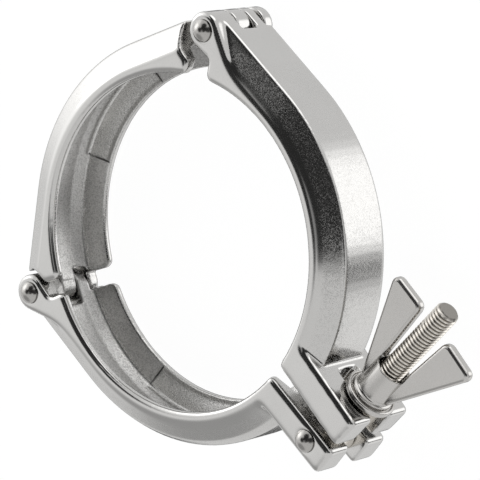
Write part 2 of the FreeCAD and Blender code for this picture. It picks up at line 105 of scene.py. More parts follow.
# Parts of the studio that the metal mirrors, each laid over those before it: degrees from the
# camera and round the view axis, the half widths in degrees of the even part and of the whole
# patch, and the brightness
STUDIO_LEVEL = 0.84
STUDIO = {
    "dark_room_over_camera": (29, 166, 23, 28, 0.03),
    "dark_room_right": (40, 124, 18, 25, 0.03),
    "dark_room_below": (60, 179, 14, 20, 0.03),
    "dark_room_at_camera": (10, 0, 17, 27, 0.04),
    "grey_panel_overhead": (43, -168, 5, 11, 0.32),
    "white_wall_over_camera": (90, -166, 9, 18, 0.97),
    "white_key_wall": (108, 148, 18, 40, 1.5),
    "white_ceiling": (74, 74, 13, 24, 1.9),
    "grey_wall_right": (68, 2, 12, 24, 0.45),
    "white_card_below": (98, 14, 13, 23, 1.7),
    "grey_gap_beside_card": (95, -17, 9, 15, 0.12),
    "grey_wall_left": (97, -138, 14, 32, 0.44),
    "pale_wall_below": (112, -30, 8, 20, 1.05),
    "dark_table_behind": (180, 0, 14, 36, 0.08),
}

# Strength of the white board under the clamp, and the share of it that takes no shadow
BOARD_WHITE = 1.05
BOARD_SHARE = 0.92


def linear(code):
    """Linear colour of an sRGB hex value."""
    parts = [int(code[place:place + 2], 16) / 255 for place in (1, 3, 5)]
    return tuple(
        part / 12.92 if part <= 0.04045 else ((part + 0.055) / 1.055) ** 2.4 for part in parts)


class ClampSizes(bpy.types.PropertyGroup):
    """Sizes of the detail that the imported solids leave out."""

    cast_grain: FloatProperty(
        name="Casting mesh", description="Spacing of the points on the castings",
        default=0.33 * MM, min=0.2 * MM, max=1.0 * MM, subtype="DISTANCE", unit="LENGTH")
    groove_passes: IntProperty(
        name="Groove passes", description="How long the whole of a casting is smoothed",
        default=3, min=0, max=20)
    outer_passes: IntProperty(
        name="Outer passes", description="How long its outside is smoothed further",
        default=10, min=0, max=80)
    rim_passes: IntProperty(
        name="Rim passes", description="How long the rims of its side faces are smoothed then",
        default=36, min=0, max=80)
    wing_thickness: FloatProperty(
        name="Wing", description="Thickness of the wings of the nut",
        default=2.8 * MM, min=1.0 * MM, max=4.0 * MM, subtype="DISTANCE", unit="LENGTH")
    wing_rim: FloatProperty(
        name="Wing rim", description="Rounding of the rims of the wings",
        default=0.95 * MM, min=0.1 * MM, max=1.3 * MM, subtype="DISTANCE", unit="LENGTH")
    head_radius: FloatProperty(
        name="Rivet head", description="Radius of the domed rivet heads",
        default=2.75 * MM, min=2.2 * MM, max=4.0 * MM, subtype="DISTANCE", unit="LENGTH")
    head_height: FloatProperty(
        name="Rivet dome", description="Height of the domed rivet heads",
        default=1.7 * MM, min=0.5 * MM, max=2.5 * MM, subtype="DISTANCE", unit="LENGTH")
    head_rim: FloatProperty(
        name="Rivet rim", description="Height of the upright rim under the domes",
        default=0.3 * MM, min=0.05 * MM, max=1.0 * MM, subtype="DISTANCE", unit="LENGTH")
    thread_pitch: FloatProperty(
        name="Thread pitch", description="Pitch of the M6 thread",
        default=1.0 * MM, min=0.5 * MM, max=1.5 * MM, subtype="DISTANCE", unit="LENGTH")
    thread_radius: FloatProperty(
        name="Thread radius", description="Radius of the bolt over its thread",
        default=3.0 * MM, min=2.0 * MM, max=4.0 * MM, subtype="DISTANCE", unit="LENGTH")
    thread_root: FloatProperty(
        name="Thread root", description="Radius of the bolt at the bottom of its thread",
        default=2.42 * MM, min=1.5 * MM, max=3.5 * MM, subtype="DISTANCE", unit="LENGTH")
    thread_start: FloatProperty(
        name="Thread start", description="Distance from the bolt's pin to its thread",
        default=13.0 * MM, min=6.0 * MM, max=40.0 * MM, subtype="DISTANCE", unit="LENGTH")
    neck_radius: FloatProperty(
        name="Neck", description="Radius of the bolt between its eye and its thread",
        default=2.97 * MM, min=2.0 * MM, max=4.0 * MM, subtype="DISTANCE", unit="LENGTH")
    bolt_length: FloatProperty(
        name="Bolt length", description="Distance from the bolt's pin to its tip",
        default=48.5 * MM, min=20.0 * MM, max=80.0 * MM, subtype="DISTANCE", unit="LENGTH")
    turn_steps: IntProperty(
        name="Steps in a turn", description="Faces round one turn of the thread",
        default=40, min=12, max=96)


class ClampColours(bpy.types.PropertyGroup):
    """Colours of the finishes."""

    cast_face: FloatVectorProperty(
        name="Cast faces", description="Tumbled outer faces of the castings",
        default=linear("#CCCBC9"), size=3, min=0, max=1, subtype="COLOR")
    groove_face: FloatVectorProperty(
        name="Groove", description="Blasted faces of the groove",
        default=linear("#CBCAC8"), size=3, min=0, max=1, subtype="COLOR")
    nut_face: FloatVectorProperty(
        name="Nut", description="Tumbled wing nut",
        default=linear("#C6C4C1"), size=3, min=0, max=1, subtype="COLOR")
    # the rivets' steel colour, set darker than the nut's as painted shade on the rivet heads
    rivet_face_and_shade: FloatVectorProperty(
        name="Rivets", description="Polished rivet heads",
        default=linear("#B4B2AF"), size=3, min=0, max=1, subtype="COLOR")
    thread_face: FloatVectorProperty(
        name="Thread", description="Rolled thread of the bolt",
        default=linear("#EDE8E0"), size=3, min=0, max=1, subtype="COLOR")
    floor: FloatVectorProperty(
        name="Floor", description="Pale floor",
        default=linear("#F4F4F4"), size=3, min=0, max=1, subtype="COLOR")


def add_node(tree, kind, inputs=None, **settings):
    """Add a node, with its settings, and its inputs as values or as links from other nodes."""
    made = tree.nodes.new(kind)
    for name, setting in settings.items():
        setattr(made, name, setting)
    for key, given in (inputs or {}).items():
        if isinstance(given, bpy.types.NodeSocket):
            tree.links.new(given, made.inputs[key])
        else:
            made.inputs[key].default_value = given
    return made


def new_material(name):
    """Empty node material and its tree."""
    material = bpy.data.materials.new(name)
    material.use_nodes = True
    material.node_tree.nodes.clear()
    return material, material.node_tree


def close_material(tree, shader):
    add_node(tree, "ShaderNodeOutputMaterial", {"Surface": shader.outputs[0]})


def close_metal(tree, base, roughness, height, depth):
    """End a metal with its colour, its roughness and its bump, whose depth is in metres."""
    bump = add_node(tree, "ShaderNodeBump", {
        "Strength": 1.0, "Distance": depth, "Height": height})
    shader = add_node(tree, "ShaderNodeBsdfPrincipled", {
        "Base Color": base, "Metallic": 1.0, "Roughness": roughness, "Normal": bump.outputs[0]})
    close_material(tree, shader)


def grained_metal(name, colour, roughness, spread, grain, depth, stain):
    """Stainless steel with a grain of a real size in metres and a slow stain in its tone."""
    material, tree = new_material(name)
    place = add_node(tree, "ShaderNodeTexCoord").outputs["Object"]
    coarse = add_node(tree, "ShaderNodeTexNoise", {
        "Vector": place, "Scale": 1 / grain, "Detail": 3.0, "Roughness": 0.6})
    fine = add_node(tree, "ShaderNodeTexNoise", {
        "Vector": place, "Scale": 3.1 / grain, "Detail": 2.0, "Roughness": 0.5})
    height = add_node(tree, "ShaderNodeMix", {
        "Factor": 0.35, "A": coarse.outputs["Fac"], "B": fine.outputs["Fac"]}, data_type="FLOAT")
    cloud = add_node(tree, "ShaderNodeTexNoise", {
        "Vector": place, "Scale": 1 / (9.0 * MM), "Detail": 4.0, "Roughness": 0.55})
    tone = add_node(tree, "ShaderNodeMapRange", {
        "Value": cloud.outputs["Fac"], "From Min": 0.3, "From Max": 0.7,
        "To Min": 1 - stain, "To Max": 1.0})
    pits = add_node(tree, "ShaderNodeMapRange", {
        "Value": coarse.outputs["Fac"], "From Min": 0.32, "From Max": 0.5,
        "To Min": 1 - 1.6 * stain, "To Max": 1.0})
    shade = add_node(tree, "ShaderNodeMath", {
        0: tone.outputs[0], 1: pits.outputs[0]}, operation="MULTIPLY")
    base = add_node(tree, "ShaderNodeMix", {
        "Factor": 1.0, "A": (*colour, 1.0), "B": shade.outputs[0]},
        data_type="RGBA", blend_type="MULTIPLY")
    gloss = add_node(tree, "ShaderNodeMapRange", {
        "Value": fine.outputs["Fac"], "From Min": 0.3, "From Max": 0.7,
        "To Min": roughness - spread, "To Max": roughness + spread})
    close_metal(tree, base.outputs["Result"], gloss.outputs[0], height.outputs["Result"], depth)
    return material


def groove_mask(tree, reach, height):
    """1 in the groove and 0 outside, from the distance to the clamp's axis and the height."""
    line = add_node(tree, "ShaderNodeMath", {
        0: reach, 1: -GROOVE_SLOPE, 2: GROOVE_HEIGHT + GROOVE_SLOPE * LIP_RADIUS},
        operation="MULTIPLY_ADD")
    under = add_node(tree, "ShaderNodeMath", {0: line.outputs[0], 1: height}, operation="SUBTRACT")
    under = add_node(tree, "ShaderNodeMapRange", {
        "Value": under.outputs[0], "From Min": 0.0, "From Max": 0.3 * MM})
    within = add_node(tree, "ShaderNodeMapRange", {
        "Value": reach, "From Min": LIP_RADIUS + GROOVE_DEPTH + 0.3 * MM,
        "From Max": LIP_RADIUS + GROOVE_DEPTH})
    beyond = add_node(tree, "ShaderNodeMapRange", {
        "Value": reach, "From Min": LIP_RADIUS + 0.2 * MM, "From Max": LIP_RADIUS + 0.5 * MM})
    mask = add_node(tree, "ShaderNodeMath", {
        0: under.outputs[0], 1: within.outputs[0]}, operation="MULTIPLY")
    mask = add_node(tree, "ShaderNodeMath", {
        0: mask.outputs[0], 1: beyond.outputs[0]}, operation="MULTIPLY")
    return mask.outputs[0]


def grain_mask(tree, reach, height):
    """Share of the grain: less on the ground side faces, and on the lugs and barrels."""
    skin = add_node(tree, "ShaderNodeMapRange", {
        "Value": height, "From Min": HALF_WIDTH - 1.2 * MM, "From Max": HALF_WIDTH - 0.7 * MM,
        "To Min": 1.0, "To Max": 0.2})
    lugs = add_node(tree, "ShaderNodeMapRange", {
        "Value": reach, "From Min": BAND_RADIUS + 0.3 * MM, "From Max": BAND_RADIUS + 1.3 * MM,
        "To Min": 1.0, "To Max": 0.35})
    mask = add_node(tree, "ShaderNodeMath", {
        0: skin.outputs[0], 1: lugs.outputs[0]}, operation="MULTIPLY")
    return mask.outputs[0]


def relief_step_shadows(tree, axes, height, groove):
    """Tone with a painted shadow line across each groove wall, where its relief ends in a step."""
    around = add_node(tree, "ShaderNodeMath", {
        0: axes.outputs["Y"], 1: axes.outputs["X"]}, operation="ARCTAN2")
    folded = add_node(tree, "ShaderNodeMath", {
        0: around.outputs[0], 1: SEGMENT_ANGLE / 2}, operation="PINGPONG")
    offset = add_node(tree, "ShaderNodeMath", {
        0: folded.outputs[0], 1: SEGMENT_ANGLE / 2 - RELIEF_HALF_ANGLE}, operation="SUBTRACT")
    offset = add_node(tree, "ShaderNodeMath", {0: offset.outputs[0]}, operation="ABSOLUTE")
    wall_radius = LIP_RADIUS + 2.0 * MM
    line = add_node(tree, "ShaderNodeMapRange", {
        "Value": offset.outputs[0], "From Min": 0.14 * MM / wall_radius,
        "From Max": 0.32 * MM / wall_radius, "To Min": 0.15, "To Max": 1.0})
    walls = add_node(tree, "ShaderNodeMapRange", {
        "Value": height, "From Min": WALL_FOOT, "From Max": WALL_FOOT + 0.15 * MM})
    walls = add_node(tree, "ShaderNodeMath", {
        0: walls.outputs[0], 1: groove}, operation="MULTIPLY")
    tone = add_node(tree, "ShaderNodeMix", {
        "Factor": walls.outputs[0], "A": 1.0, "B": line.outputs[0]}, data_type="FLOAT")
    return tone.outputs["Result"]


def cast_metal(colours):
    """Finish of the castings: tumbled outside and left as blasted in the groove."""
    # Investment-cast stainless steel, tumbled after casting: satin, with a fine grain that
    # glitters where it turns dark. The groove keeps its blasted skin, duller and rougher.
    material, tree = new_material("tumbled_cast_stainless")
    place = add_node(tree, "ShaderNodeTexCoord").outputs["Object"]
    axes = add_node(tree, "ShaderNodeSeparateXYZ", {"Vector": place})
    flat = add_node(tree, "ShaderNodeCombineXYZ", {"X": axes.outputs["X"], "Y": axes.outputs["Y"]})
    reach = add_node(tree, "ShaderNodeVectorMath", {
        0: flat.outputs[0]}, operation="LENGTH").outputs["Value"]
    height = add_node(tree, "ShaderNodeMath", {
        0: axes.outputs["Z"]}, operation="ABSOLUTE").outputs[0]
    groove = groove_mask(tree, reach, height)
    skin = grain_mask(tree, reach, height)
    # grain of the shell mould, 0.3 mm across and finer, with single rough grains
    coarse = add_node(tree, "ShaderNodeTexNoise", {
        "Vector": place, "Scale": 1 / (0.34 * MM), "Detail": 2.0, "Roughness": 0.5})
    fine = add_node(tree, "ShaderNodeTexNoise", {
        "Vector": place, "Scale": 1 / (0.15 * MM), "Detail": 2.0, "Roughness": 0.5})
    grain = add_node(tree, "ShaderNodeMix", {
        "Factor": 0.5, "A": coarse.outputs["Fac"], "B": fine.outputs["Fac"]}, data_type="FLOAT")
    cells = add_node(tree, "ShaderNodeTexVoronoi", {"Vector": place, "Scale": 1 / (0.22 * MM)})
    chance = add_node(tree, "ShaderNodeSeparateColor", {"Color": cells.outputs["Color"]})
    specks = add_node(tree, "ShaderNodeMapRange", {
        "Value": chance.outputs["Red"], "From Min": 0.35, "From Max": 1.0})
    specks = add_node(tree, "ShaderNodeMath", {0: specks.outputs[0], 1: skin}, operation="MULTIPLY")
    # slow cloud in the tone, darker grains and the painted shadow lines at the steps where the
    # relief ends
    cloud = add_node(tree, "ShaderNodeTexNoise", {
        "Vector": place, "Scale": 1 / (9.0 * MM), "Detail": 4.0, "Roughness": 0.55})
    tone = add_node(tree, "ShaderNodeMapRange", {
        "Value": cloud.outputs["Fac"], "From Min": 0.3, "From Max": 0.7,
        "To Min": 0.97, "To Max": 1.0})
    dulled = add_node(tree, "ShaderNodeMapRange", {
        "Value": groove, "To Min": -0.05, "To Max": -0.36})
    pits = add_node(tree, "ShaderNodeMath", {
        0: specks.outputs[0], 1: dulled.outputs[0], 2: 1.0}, operation="MULTIPLY_ADD")
    # painted shadow: the colour darkens in a thin line along each step of the relief
    step_shadows = relief_step_shadows(tree, axes, height, groove)
    tone = add_node(tree, "ShaderNodeMath", {
        0: tone.outputs[0], 1: pits.outputs[0]}, operation="MULTIPLY")
    tone = add_node(tree, "ShaderNodeMath", {0: tone.outputs[0], 1: step_shadows}, operation="MULTIPLY")
    colour = add_node(tree, "ShaderNodeMix", {
        "Factor": groove, "A": (*colours.cast_face, 1.0), "B": (*colours.groove_face, 1.0)},
        data_type="RGBA")
    base = add_node(tree, "ShaderNodeMix", {
        "Factor": 1.0, "A": colour.outputs["Result"], "B": tone.outputs[0]},
        data_type="RGBA", blend_type="MULTIPLY")
    # the rough grains scatter the light more than the skin between them
    level = add_node(tree, "ShaderNodeMapRange", {
        "Value": groove, "To Min": 0.12, "To Max": 0.28})
    rough = add_node(tree, "ShaderNodeMath", {
        0: specks.outputs[0], 1: 0.22, 2: level.outputs[0]}, operation="MULTIPLY_ADD")
    depth = add_node(tree, "ShaderNodeMapRange", {
        "Value": groove, "To Min": 0.014 * MM, "To Max": 0.05 * MM})
    depth = add_node(tree, "ShaderNodeMath", {0: depth.outputs[0], 1: skin}, operation="MULTIPLY")
    close_metal(
        tree, base.outputs["Result"], rough.outputs[0], grain.outputs["Result"], depth.outputs[0])
    return material


def thread_metal(colours, sizes):
    """Finish of the bolt, which depends on the distance from its axis."""
    # Rolled M6 thread in stainless steel: burnished crests, and roots darkened in colour as painted
    # shade
    material, tree = new_material("rolled_thread_stainless")
    place = add_node(tree, "ShaderNodeTexCoord").outputs["Object"]
    spoke = add_node(tree, "ShaderNodeVectorMath", {0: place, 1: PIN_PLACE}, operation="SUBTRACT")
    across = add_node(tree, "ShaderNodeVectorMath", {
        0: spoke.outputs[0], 1: ALONG_BOLT}, operation="CROSS_PRODUCT")
    reach = add_node(tree, "ShaderNodeVectorMath", {0: across.outputs[0]}, operation="LENGTH")
    # painted shade: the colour darkens towards the roots of the thread
    root_shade = add_node(tree, "ShaderNodeMapRange", {
        "Value": reach.outputs["Value"], "From Min": sizes.thread_root + 0.1 * MM,
        "From Max": sizes.thread_radius - 0.08 * MM, "To Min": 0.38, "To Max": 1.0})
    fine = add_node(tree, "ShaderNodeTexNoise", {
        "Vector": place, "Scale": 1 / (0.3 * MM), "Detail": 3.0, "Roughness": 0.55})
    gloss = add_node(tree, "ShaderNodeMapRange", {
        "Value": fine.outputs["Fac"], "From Min": 0.3, "From Max": 0.7,
        "To Min": 0.16, "To Max": 0.26})
    base = add_node(tree, "ShaderNodeMix", {
        "Factor": 1.0, "A": (*colours.thread_face, 1.0), "B": root_shade.outputs[0]},
        data_type="RGBA", blend_type="MULTIPLY")
    close_metal(tree, base.outputs["Result"], gloss.outputs[0], fine.outputs["Fac"], 0.006 * MM)
    return material


def leave_nothing_selected():
    if bpy.context.object and bpy.context.object.mode != "OBJECT":
        bpy.ops.object.mode_set(mode="OBJECT")
    bpy.ops.object.select_all(action="DESELECT")


def take(piece):
    """Make one piece the only selected and active object."""
    leave_nothing_selected()
    piece.select_set(True)
    bpy.context.view_layer.objects.active = piece
    return piece


def apply_modifier(piece, kind, **settings):
    take(piece)
    made = piece.modifiers.new(kind.lower(), kind)
    for name, setting in settings.items():
        setattr(made, name, setting)
    bpy.ops.object.modifier_apply(modifier=made.name)


def settle(piece):
    """Put the piece's place into its mesh."""
    take(piece)
    bpy.ops.object.transform_apply(location=True, rotation=True, scale=True)


def copy_solid(node, name):
    """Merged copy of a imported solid, ready for its edges to be worked."""
    take(frame["nodes"][node])
    bpy.ops.object.duplicate()
    piece = bpy.context.active_object
    bpy.ops.object.parent_clear(type="CLEAR_KEEP_TRANSFORM")
    del piece["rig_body"]
    del piece["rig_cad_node"]
    piece.name = piece.data.name = name
    piece.data.materials.clear()
    bpy.ops.mesh.customdata_custom_splitnormals_clear()
    bpy.ops.object.mode_set(mode="EDIT")
    bpy.ops.mesh.select_all(action="SELECT")
    bpy.ops.mesh.remove_doubles(threshold=0.002 * MM)
    bpy.ops.mesh.dissolve_limited(angle_limit=math.radians(0.4))
    bpy.ops.object.mode_set(mode="OBJECT")
    return piece


def soften(piece, grain, passes):
    """Turn a merged solid into an even shell and smooth it.

    The three counts of passes are for the whole piece, for all but its groove, and for the rims
    of its side faces.
    """
    apply_modifier(piece, "REMESH", mode="VOXEL", voxel_size=grain)
    outside = piece.vertex_groups.new(name="outside")
    rims = piece.vertex_groups.new(name="rims")
    for vertex in piece.data.vertices:
        depth, height = vertex.co.xy.length - LIP_RADIUS, abs(vertex.co.z)
        over = height + GROOVE_SLOPE * depth - GROOVE_HEIGHT
        share = min(1.0, max(0.0, over / (0.8 * MM)))
        if depth > GROOVE_DEPTH + 0.7 * MM:
            share = 1.0
        outside.add([vertex.index], share, "REPLACE")
        share = min(1.0, max(0.0, (height - HALF_WIDTH + 1.3 * MM) / (0.7 * MM)))
        rims.add([vertex.index], share, "REPLACE")
    for group, count in zip(("", "outside", "rims"), passes):
        apply_modifier(piece, "SMOOTH", factor=0.5, iterations=count, vertex_group=group)
    piece.vertex_groups.clear()
    take(piece)
    bpy.ops.object.shade_smooth()


def round_corners(corners, steps=5):
    """Outline through corners given as (x, y, radius), with an arc at each one with a radius."""
    outline = []
    for step, (x, y, radius) in enumerate(corners):
        corner = Vector((x, y))
        if not radius:
            outline.append(corner)
            continue
        back = (Vector(corners[step - 1][:2]) - corner).normalized()
        ahead = (Vector(corners[(step + 1) % len(corners)][:2]) - corner).normalized()
        half = back.angle(ahead) / 2
        centre = corner + (back + ahead).normalized() * radius / math.sin(half)
        spoke = corner + back * radius / math.tan(half) - centre
        sweep = math.copysign(math.pi - 2 * half, back.x * ahead.y - back.y * ahead.x)
        for share in range(steps + 1):
            turn = -sweep * share / steps
            outline.append(centre + Vector((
                spoke.x * math.cos(turn) - spoke.y * math.sin(turn),
                spoke.x * math.sin(turn) + spoke.y * math.cos(turn))))
    return outline


def new_piece(name, points, edges=(), faces=()):
    mesh = bpy.data.meshes.new(name)
    mesh.from_pydata(points, edges, faces)
    piece = bpy.data.objects.new(name, mesh)
    bpy.context.scene.collection.objects.link(piece)
    return take(piece)


def turn_outline(name, corners, steps=72):
    """Solid turned round the Z axis from (radius, height, corner radius)."""
    outline = round_corners(corners)
    count = len(outline)
    edges = [(step, (step + 1) % count) for step in range(count)]
    # an edge along the axis would become a line inside the solid
    edges = [(start, end) for start, end in edges if outline[start].x or outline[end].x]
    piece = new_piece(name, [(reach, 0.0, height) for reach, height in outline], edges=edges)
    apply_modifier(
        piece, "SCREW", axis="Z", angle=math.tau, steps=steps, render_steps=steps,
        use_merge_vertices=True, merge_threshold=0.001 * MM, use_normal_calculate=True)
    bpy.ops.object.mode_set(mode="EDIT")
    bpy.ops.mesh.select_all(action="SELECT")
    bpy.ops.mesh.remove_doubles(threshold=0.001 * MM)
    bpy.ops.mesh.dissolve_degenerate(threshold=0.0005 * MM)
    bpy.ops.mesh.normals_make_consistent(inside=False)
    bpy.ops.object.mode_set(mode="OBJECT")
    return piece


def add_cylinder(name, vertices, radius, depth, centre=(0, 0, 0), lying=False):
    """Cylinder along Z, or along Y where it is lying."""
    leave_nothing_selected()
    bpy.ops.mesh.primitive_cylinder_add(
        vertices=vertices, radius=radius, depth=depth, location=centre,
        rotation=(math.pi / 2 if lying else 0, 0, 0))
    piece = bpy.context.active_object
    piece.name = piece.data.name = name
    settle(piece)
    return piece


def place_on(piece, centre, along=None):
    """Put a piece made along Z at its place, along a direction of the XY plane if one is given."""
    turned = Matrix.Identity(4)
    if along is not None:
        across = Vector((along.y, -along.x, 0.0))
        turned = Matrix((across, Vector((0.0, 0.0, -1.0)), along)).transposed().to_4x4()
    piece.matrix_world = Matrix.Translation(centre) @ turned
    settle(piece)


def combine(piece, other, operation):
    """Fuse another solid into the piece, or take it away or keep what both share."""
    apply_modifier(piece, "BOOLEAN", object=other, operation=operation, solver="EXACT")
    bpy.data.objects.remove(other)
    worked = bmesh.new()
    worked.from_mesh(piece.data)
    open_edges = sum(1 for edge in worked.edges if len(edge.link_faces) != 2)
    worked.free()
    if open_edges:
        raise RuntimeError(f"{piece.name} has {open_edges} open edges after {operation}")


def bevel_where(piece, chosen, width, segments):
    """Bevel the sharp edges whose middle is chosen."""
    mesh = piece.data
    worked = bmesh.new()
    worked.from_mesh(mesh)
    weights = []
    for edge in worked.edges:
        middle = (edge.verts[0].co + edge.verts[1].co) / 2
        sharp = edge.calc_face_angle(0.0) > math.radians(60)
        weights.append(1.0 if sharp and chosen(middle) else 0.0)
    worked.free()
    layer = mesh.attributes.new("bevel_weight_edge", "FLOAT", "EDGE")
    layer.data.foreach_set("value", weights)
    apply_modifier(
        piece, "BEVEL", width=width, segments=segments, limit_method="WEIGHT",
        use_clamp_overlap=False)


def shade_flats(piece):
    """Smooth shading up to 35 degrees, with the large flat faces kept flat."""
    take(piece)
    bpy.ops.object.shade_smooth_by_angle(angle=math.radians(35))
    apply_modifier(piece, "WEIGHTED_NORMAL", weight=100, keep_sharp=True)


def dress(piece, body, node):
    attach(piece, body)
    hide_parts(node)


class CLAMP_OT_castings(bpy.types.Operator):
    """Round the edges of the three cast segments and give them their cast and blasted faces"""

    bl_idname = "clamp.castings"
    bl_label = "Cast segments"

    def execute(self, context):
        sizes, colours = context.scene.clamp_sizes, context.scene.clamp_colours
        cast = cast_metal(colours)
        passes = (sizes.groove_passes, sizes.outer_passes, sizes.rim_passes)
        for node, body in (
                ("left_segment", "middle"), ("right_segment", "right"), ("lower_segment", "lower")):
            piece = copy_solid(node, node + "_casting")
            if node == "right_segment":
                self.round_slot_end(piece)
            soften(piece, sizes.cast_grain, passes)
            piece.data.materials.append(cast)
            dress(piece, body, node)
        return {"FINISHED"}

    def round_slot_end(self, piece):
        """Fill the corners at the end of the bolt's slot, so that it ends in a half circle."""
        sunk, middle, thickness = 1.0 * MM, 4.2 * MM, 8.6 * MM
        leave_nothing_selected()
        bpy.ops.mesh.primitive_cube_add(
            size=1.0, location=(SLOT_END + (SLOT_RADIUS - sunk) / 2, middle, 0))
        corners = bpy.context.active_object
        corners.scale = (SLOT_RADIUS + sunk, thickness, 2 * SLOT_RADIUS + 0.1 * MM)
        corners.rotation_euler.z = -BOLT_TILT
        settle(corners)
        centre = (SLOT_END + SLOT_RADIUS, middle, 0)
        cutter = add_cylinder("slot_end", 48, SLOT_RADIUS, 20 * MM, centre, lying=True)
        combine(corners, cutter, "DIFFERENCE")
        combine(piece, corners, "UNION")


class CLAMP_OT_rivets(bpy.types.Operator):
    """Model the three domed rivets, each with an upright rim under its dome, and polish them"""

    bl_idname = "clamp.rivets"
    bl_label = "Rivets"

    def execute(self, context):
        sizes, colours = context.scene.clamp_sizes, context.scene.clamp_colours
        # Stainless rivet, its head formed and polished: smooth, with faint marks of the tool, and
        # its colour darkened as painted shade
        polished = grained_metal(
            "polished_rivet_stainless", colours.rivet_face_and_shade, 0.19, 0.03, 0.3 * MM, 0.003 * MM, 0.04)
        outline = self.rivet_outline(sizes)
        for node, body, centre in (
                ("top_hinge_pin", "right", HINGE_PLACE),
                ("left_hinge_pin", "lower", HINGE_PLACE * Vector((1, -1, 1))),
                ("bolt_pin", "lower", PIN_PLACE)):
            piece = turn_outline(node + "_rivet", outline, steps=48)
            place_on(piece, centre)
            bpy.ops.object.shade_smooth_by_angle(angle=math.radians(35))
            piece.data.materials.append(polished)
            dress(piece, body, node)
        return {"FINISHED"}

    def rivet_outline(self, sizes):
        """Flush rear end, shank, upright rim of the head and dome, as part of a ball."""
        rim, rise = sizes.head_radius, sizes.head_height - sizes.head_rim
        ball = (rim ** 2 + rise ** 2) / (2 * rise)
        top = HALF_WIDTH + sizes.head_height
        rings = 10
        outline = [
            (0, -HALF_WIDTH, 0), (PIN_RADIUS, -HALF_WIDTH, 0), (PIN_RADIUS, HALF_WIDTH, 0),
            (rim, HALF_WIDTH, 0)]
        for ring in range(rings):
            turn = math.asin(rim / ball) * (1 - ring / rings)
            outline.append((ball * math.sin(turn), top - ball * (1 - math.cos(turn)), 0))
        outline.append((0, top, 0))
        return outline


class CLAMP_OT_swing_bolt(bpy.types.Operator):
    """Model the swing bolt with its eye, its plain neck and its rolled thread"""

    bl_idname = "clamp.swing_bolt"
    bl_label = "Swing bolt"

    def execute(self, context):
        sizes, colours = context.scene.clamp_sizes, context.scene.clamp_colours
        thread = self.roll_thread(sizes)
        piece = self.make_eye(sizes)
        combine(piece, thread, "UNION")
        piece.name = piece.data.name = "swing_bolt_threaded"
        place_on(piece, PIN_PLACE, ALONG_BOLT)
        shade_flats(piece)
        piece.data.materials.append(thread_metal(colours, sizes))
        dress(piece, "bolt", "swing_bolt")
        return {"FINISHED"}

    def roll_thread(self, sizes):
        """Threaded rod along Z, at its distance from the pin, chamfered at the tip."""
        length = sizes.bolt_length - sizes.thread_start
        rod = add_cylinder(
            "thread", 64, sizes.thread_radius + 0.02 * MM, length,
            (0, 0, sizes.thread_start + length / 2))
        bevel_where(rod, lambda middle: middle.z > sizes.bolt_length - MM, 0.7 * MM, 1)
        combine(rod, self.wind_ridge(sizes), "INTERSECT")
        return rod

    def wind_ridge(self, sizes):
        """Closed helix of the thread's outline, longer than the rod at both ends."""
        pitch, root = sizes.thread_pitch, sizes.thread_root
        depth = sizes.thread_radius - root
        turns = math.ceil((sizes.bolt_length - sizes.thread_start) / pitch) + 3
        start = sizes.thread_start - 1.5 * pitch
        # share of the thread's depth, and of its pitch
        outline = (
            (0.0, 0.0), (0.0, 0.16), (0.12, 0.21), (0.9, 0.5), (1.0, 0.56),
            (1.0, 0.64), (0.9, 0.7), (0.12, 0.99), (0.0, 1.0))
        points = [(root + rise * depth, 0.0, start + share * pitch) for rise, share in outline]
        edges = [(step, step + 1) for step in range(len(points) - 1)]
        ridge = new_piece("thread_ridge", points, edges=edges)
        apply_modifier(
            ridge, "SCREW", axis="Z", angle=math.tau, screw_offset=pitch, iterations=turns,
            steps=sizes.turn_steps, render_steps=sizes.turn_steps, use_merge_vertices=True,
            merge_threshold=0.001 * MM, use_normal_calculate=True)
        bpy.ops.object.mode_set(mode="EDIT")
        bpy.ops.mesh.select_all(action="SELECT")
        bpy.ops.mesh.remove_doubles(threshold=0.001 * MM)
        bpy.ops.mesh.select_all(action="DESELECT")
        bpy.ops.mesh.select_mode(type="EDGE")
        bpy.ops.mesh.select_non_manifold(
            extend=False, use_wire=False, use_multi_face=False, use_non_contiguous=False,
            use_verts=False)
        bpy.ops.mesh.edge_face_add()
        bpy.ops.mesh.select_all(action="SELECT")
        bpy.ops.mesh.normals_make_consistent(inside=False)
        bpy.ops.object.mode_set(mode="OBJECT")
        return ridge

    def make_eye(self, sizes):
        """Eye round the origin, with its hole along Y, and the plain neck along Z."""
        eye = add_cylinder("eye", 72, EYE_RADIUS, EYE_WIDTH, lying=True)
        bpy.ops.object.mode_set(mode="EDIT")
        bpy.ops.mesh.select_all(action="DESELECT")
        bpy.ops.object.mode_set(mode="OBJECT")
        for face in eye.data.polygons:
            face.select = abs(face.normal.y) > 0.9
        bpy.ops.object.mode_set(mode="EDIT")
        bpy.ops.mesh.select_mode(type="FACE")
        bpy.ops.mesh.inset(thickness=EYE_RADIUS - EYE_HOLE_RADIUS)
        bpy.ops.mesh.bridge_edge_loops()
        bpy.ops.object.mode_set(mode="OBJECT")
        bevel_where(eye, lambda middle: middle.length > EYE_RADIUS - 0.5 * MM, 0.5 * MM, 3)
        foot, end = 3.2 * MM, sizes.thread_start + 0.2 * MM
        neck = add_cylinder("neck", 64, sizes.neck_radius, end - foot, (0, 0, (foot + end) / 2))
        combine(eye, neck, "UNION")
        return eye


